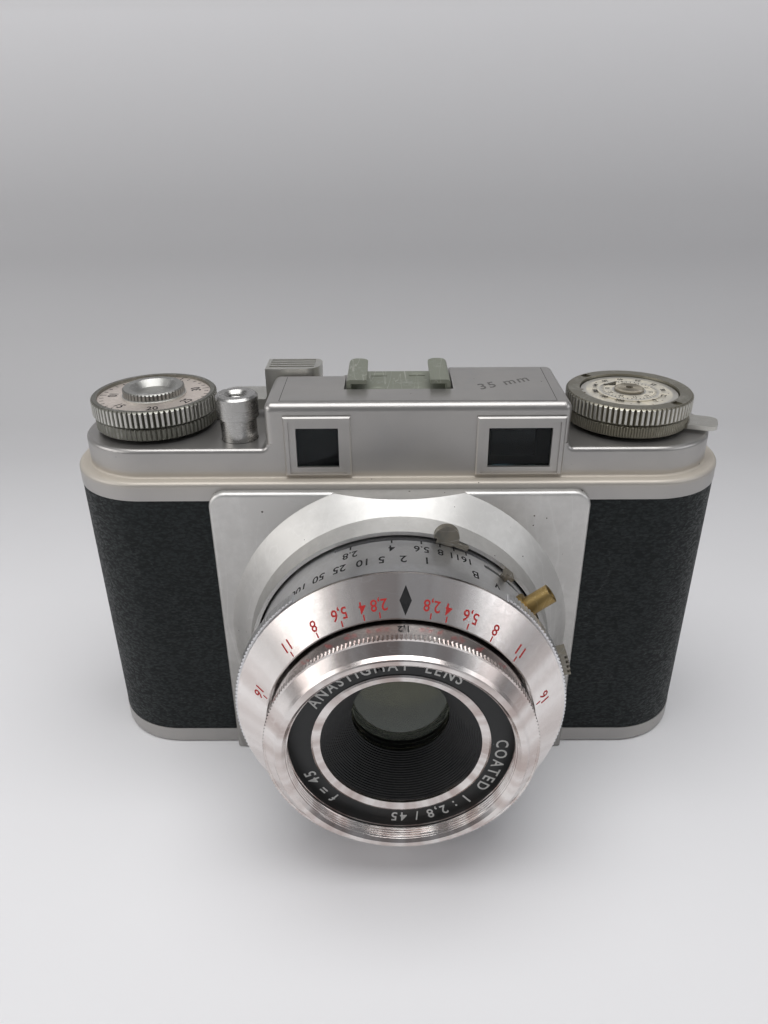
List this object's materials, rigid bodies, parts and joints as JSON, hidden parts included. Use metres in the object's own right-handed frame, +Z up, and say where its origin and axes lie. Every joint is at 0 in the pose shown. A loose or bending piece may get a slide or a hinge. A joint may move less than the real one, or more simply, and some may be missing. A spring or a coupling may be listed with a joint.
{
  "type": "film camera",
  "caption": "Compact 35 mm rangefinder film camera with a rounded metal body, leatherette, leaf-shutter lens, top knobs, wind lever and accessory shoe.",
  "frame": {"origin": "mouth of the tripod socket, in the middle of the base", "axes": "+X to the right as seen from the front, +Y from the lens towards the back, +Z up"},
  "size_m": [0.1324, 0.0716, 0.083],
  "materials": {
    "cover_metal": "satin anodised",
    "plate_metal": "fine satin",
    "barrel_metal": "satin with dark numerals",
    "polished_metal": "polished",
    "knob_metal": "worn nickel plate",
    "leatherette": "fine pebbled grain",
    "casting": "matt black anodised",
    "black_metal": "matt black",
    "name_enamel": "black enamel with silver lettering",
    "blade_steel": "blued steel",
    "steel": "ground",
    "spring_steel": "drawn wire",
    "brass": "bare",
    "dial_metal": "etched, dark numerals",
    "shoe_metal": "worn nickel plate",
    "lens_glass": "coated",
    "window_glass": "clear",
    "prism_glass": "half-silvered",
    "door_metal": "matt black lacquer",
    "spool_plastic": "moulded"
  },
  "bodies": {
    "body": {"body_casting": "casting", "bottom_cover": "cover_metal", "tripod_bush": "steel", "bottom_screws": "steel", "top_cover": "cover_metal", "accessory_shoe": "shoe_metal", "shoe_screws": "steel", "window_frames": "cover_metal", "finder_windows": "window_glass", "eyepiece_ring": "polished_metal", "eyepiece_glass": "window_glass", "rangefinder_prisms": "prism_glass", "leather_left": "leatherette", "leather_right": "leatherette", "front_plate": "plate_metal", "hinge_pin": "steel", "shutter_housing": "barrel_metal", "flash_socket": "brass", "depth_scale_ring": "polished_metal", "lens_socket": "black_metal", "rear_cell": "black_metal", "rear_glass": "lens_glass", "middle_glass": "lens_glass", "release_spring": "spring_steel"},
    "back": {"back_door": "door_metal", "back_leather": "leatherette", "pressure_plate": "black_metal", "pressure_spring": "spring_steel"},
    "winder": {"wind_lever": "knob_metal"},
    "counter": {"counter_knob": "knob_metal", "counter_dial": "dial_metal", "counter_hub": "polished_metal"},
    "spool": {"wind_shaft": "steel", "take_up_spool": "spool_plastic"},
    "sprocket": {"sprocket": "steel"},
    "release": {"release_button": "polished_metal"},
    "latch": {"rewind_release": "knob_metal"},
    "rewind_drive": {"rewind_washer": "brass"},
    "rewind": {"rewind_knob": "knob_metal", "rewind_shaft": "steel"},
    "film_reminder": {"film_dial": "dial_metal"},
    "aperture": {"aperture_ring": "knob_metal"},
    "sync": {"sync_lever": "polished_metal"},
    "timer": {"timer_lever": "polished_metal"},
    "speed": {"speed_ring": "polished_metal"},
    "follower": {"focus_follower": "brass"},
    "focus": {"focus_ring": "polished_metal", "name_ring": "name_enamel", "front_retainer": "polished_metal", "front_cell": "black_metal", "front_glass": "lens_glass"},
    "iris_1": {"iris_blade_1": "blade_steel"},
    "iris_2": {"iris_blade_2": "blade_steel"},
    "iris_3": {"iris_blade_3": "blade_steel"},
    "iris_4": {"iris_blade_4": "blade_steel"},
    "iris_5": {"iris_blade_5": "blade_steel"},
    "shutter_1": {"shutter_blade_1": "blade_steel"},
    "shutter_2": {"shutter_blade_2": "blade_steel"},
    "shutter_3": {"shutter_blade_3": "blade_steel"}
  },
  "joints": [
    {"name": "back_hinge", "type": "hinge", "parent": "body", "child": "back", "pos_m": [-0.06535, 0.008, 0.0325], "axis": [0, 0, 1], "range_deg": [0, 100]},
    {"name": "wind_stroke", "type": "hinge", "parent": "body", "child": "winder", "pos_m": [-0.0498, 0, 0.074], "axis": [0, 0, 1], "range_deg": [0, 150], "stiffness_Nm_per_rad": 0.004, "springref_deg": -14.32},
    {"name": "counter_turn", "type": "hinge", "parent": "body", "child": "counter", "pos_m": [-0.0498, 0, 0.077], "axis": [0, 0, 1], "range_deg": [0, 9]},
    {"name": "take_up_turn", "type": "hinge", "parent": "body", "child": "spool", "pos_m": [-0.0498, 0, 0.033], "axis": [0, 0, 1], "range_deg": [0, 360]},
    {"name": "sprocket_turn", "type": "hinge", "parent": "body", "child": "sprocket", "pos_m": [-0.0355, 0.0036, 0.0325], "axis": [0, 0, 1], "range_deg": [0, 360]},
    {"name": "release_press", "type": "slide", "parent": "body", "child": "release", "axis": [0, 0, -1], "range_m": [0, 0.0022], "stiffness_N_per_m": 400, "springref_m": -0.003, "deforming": ["release_spring"]},
    {"name": "rewind_release_turn", "type": "hinge", "parent": "body", "child": "latch", "pos_m": [0.0468, 0, 0.0735], "axis": [0, 0, 1], "range_deg": [-20, 0]},
    {"name": "rewind_turn", "type": "hinge", "parent": "body", "child": "rewind_drive", "pos_m": [0.0468, 0, 0.0707], "axis": [0, 0, 1], "continuous": true},
    {"name": "rewind_pull", "type": "slide", "parent": "rewind_drive", "child": "rewind", "axis": [0, 0, 1], "range_m": [0, 0.0055]},
    {"name": "film_reminder_turn", "type": "hinge", "parent": "rewind", "child": "film_reminder", "pos_m": [0.0468, 0, 0.0782], "axis": [0, 0, 1], "continuous": true},
    {"name": "aperture_turn", "type": "hinge", "parent": "body", "child": "aperture", "pos_m": [0, -0.0288, 0.0325], "axis": [0, 1, 0], "range_deg": [-37, 14]},
    {"name": "sync_turn", "type": "hinge", "parent": "body", "child": "sync", "pos_m": [0, -0.0308, 0.0325], "axis": [0, 1, 0], "range_deg": [-6, 7]},
    {"name": "timer_turn", "type": "hinge", "parent": "body", "child": "timer", "pos_m": [0, -0.0371, 0.0325], "axis": [0, 1, 0], "range_deg": [0, 48]},
    {"name": "speed_turn", "type": "hinge", "parent": "body", "child": "speed", "pos_m": [0, -0.0408, 0.0325], "axis": [0, 1, 0], "range_deg": [-56, 56]},
    {"name": "focus_slide", "type": "slide", "parent": "body", "child": "follower", "axis": [0, -1, 0], "range_m": [-0.0016, 0.0003]},
    {"name": "focus_turn", "type": "hinge", "parent": "follower", "child": "focus", "pos_m": [0, -0.0468, 0.0325], "axis": [0, 1, 0], "range_deg": [-225, 30]},
    {"name": "iris_pivot_1", "type": "hinge", "parent": "body", "child": "iris_1", "pos_m": [0, -0.0298, 0.0457], "axis": [0, 1, 0], "range_deg": [-14.8, 5.6]},
    {"name": "iris_pivot_2", "type": "hinge", "parent": "body", "child": "iris_2", "pos_m": [0.01255, -0.0298, 0.03658], "axis": [0, 1, 0], "range_deg": [-14.8, 5.6]},
    {"name": "iris_pivot_3", "type": "hinge", "parent": "body", "child": "iris_3", "pos_m": [0.00776, -0.0298, 0.02182], "axis": [0, 1, 0], "range_deg": [-14.8, 5.6]},
    {"name": "iris_pivot_4", "type": "hinge", "parent": "body", "child": "iris_4", "pos_m": [-0.00776, -0.0298, 0.02182], "axis": [0, 1, 0], "range_deg": [-14.8, 5.6]},
    {"name": "iris_pivot_5", "type": "hinge", "parent": "body", "child": "iris_5", "pos_m": [-0.01255, -0.0298, 0.03658], "axis": [0, 1, 0], "range_deg": [-14.8, 5.6]},
    {"name": "shutter_pivot_1", "type": "hinge", "parent": "body", "child": "shutter_1", "pos_m": [0, -0.0318, 0.051], "axis": [0, 1, 0], "range_deg": [-27.5, 0]},
    {"name": "shutter_pivot_2", "type": "hinge", "parent": "body", "child": "shutter_2", "pos_m": [0.01602, -0.0318, 0.02325], "axis": [0, 1, 0], "range_deg": [-27.5, 0]},
    {"name": "shutter_pivot_3", "type": "hinge", "parent": "body", "child": "shutter_3", "pos_m": [-0.01602, -0.0318, 0.02325], "axis": [0, 1, 0], "range_deg": [-27.5, 0]}
  ],
  "couplings": [
    {"joint": "counter_turn", "follows": "wind_stroke", "ratio": 0.06},
    {"joint": "take_up_turn", "follows": "wind_stroke", "ratio": 2.4},
    {"joint": "sprocket_turn", "follows": "wind_stroke", "ratio": 2.4},
    {"joint": "focus_slide", "follows": "focus_turn", "m_per_rad": 0.000382},
    {"joint": "iris_pivot_1", "follows": "aperture_turn", "ratio": 0.4},
    {"joint": "iris_pivot_2", "follows": "aperture_turn", "ratio": 0.4},
    {"joint": "iris_pivot_3", "follows": "aperture_turn", "ratio": 0.4},
    {"joint": "iris_pivot_4", "follows": "aperture_turn", "ratio": 0.4},
    {"joint": "iris_pivot_5", "follows": "aperture_turn", "ratio": 0.4},
    {"joint": "shutter_pivot_1", "follows": "release_press", "rad_per_m": -217.95},
    {"joint": "shutter_pivot_2", "follows": "release_press", "rad_per_m": -217.95},
    {"joint": "shutter_pivot_3", "follows": "release_press", "rad_per_m": -217.95}
  ]
}
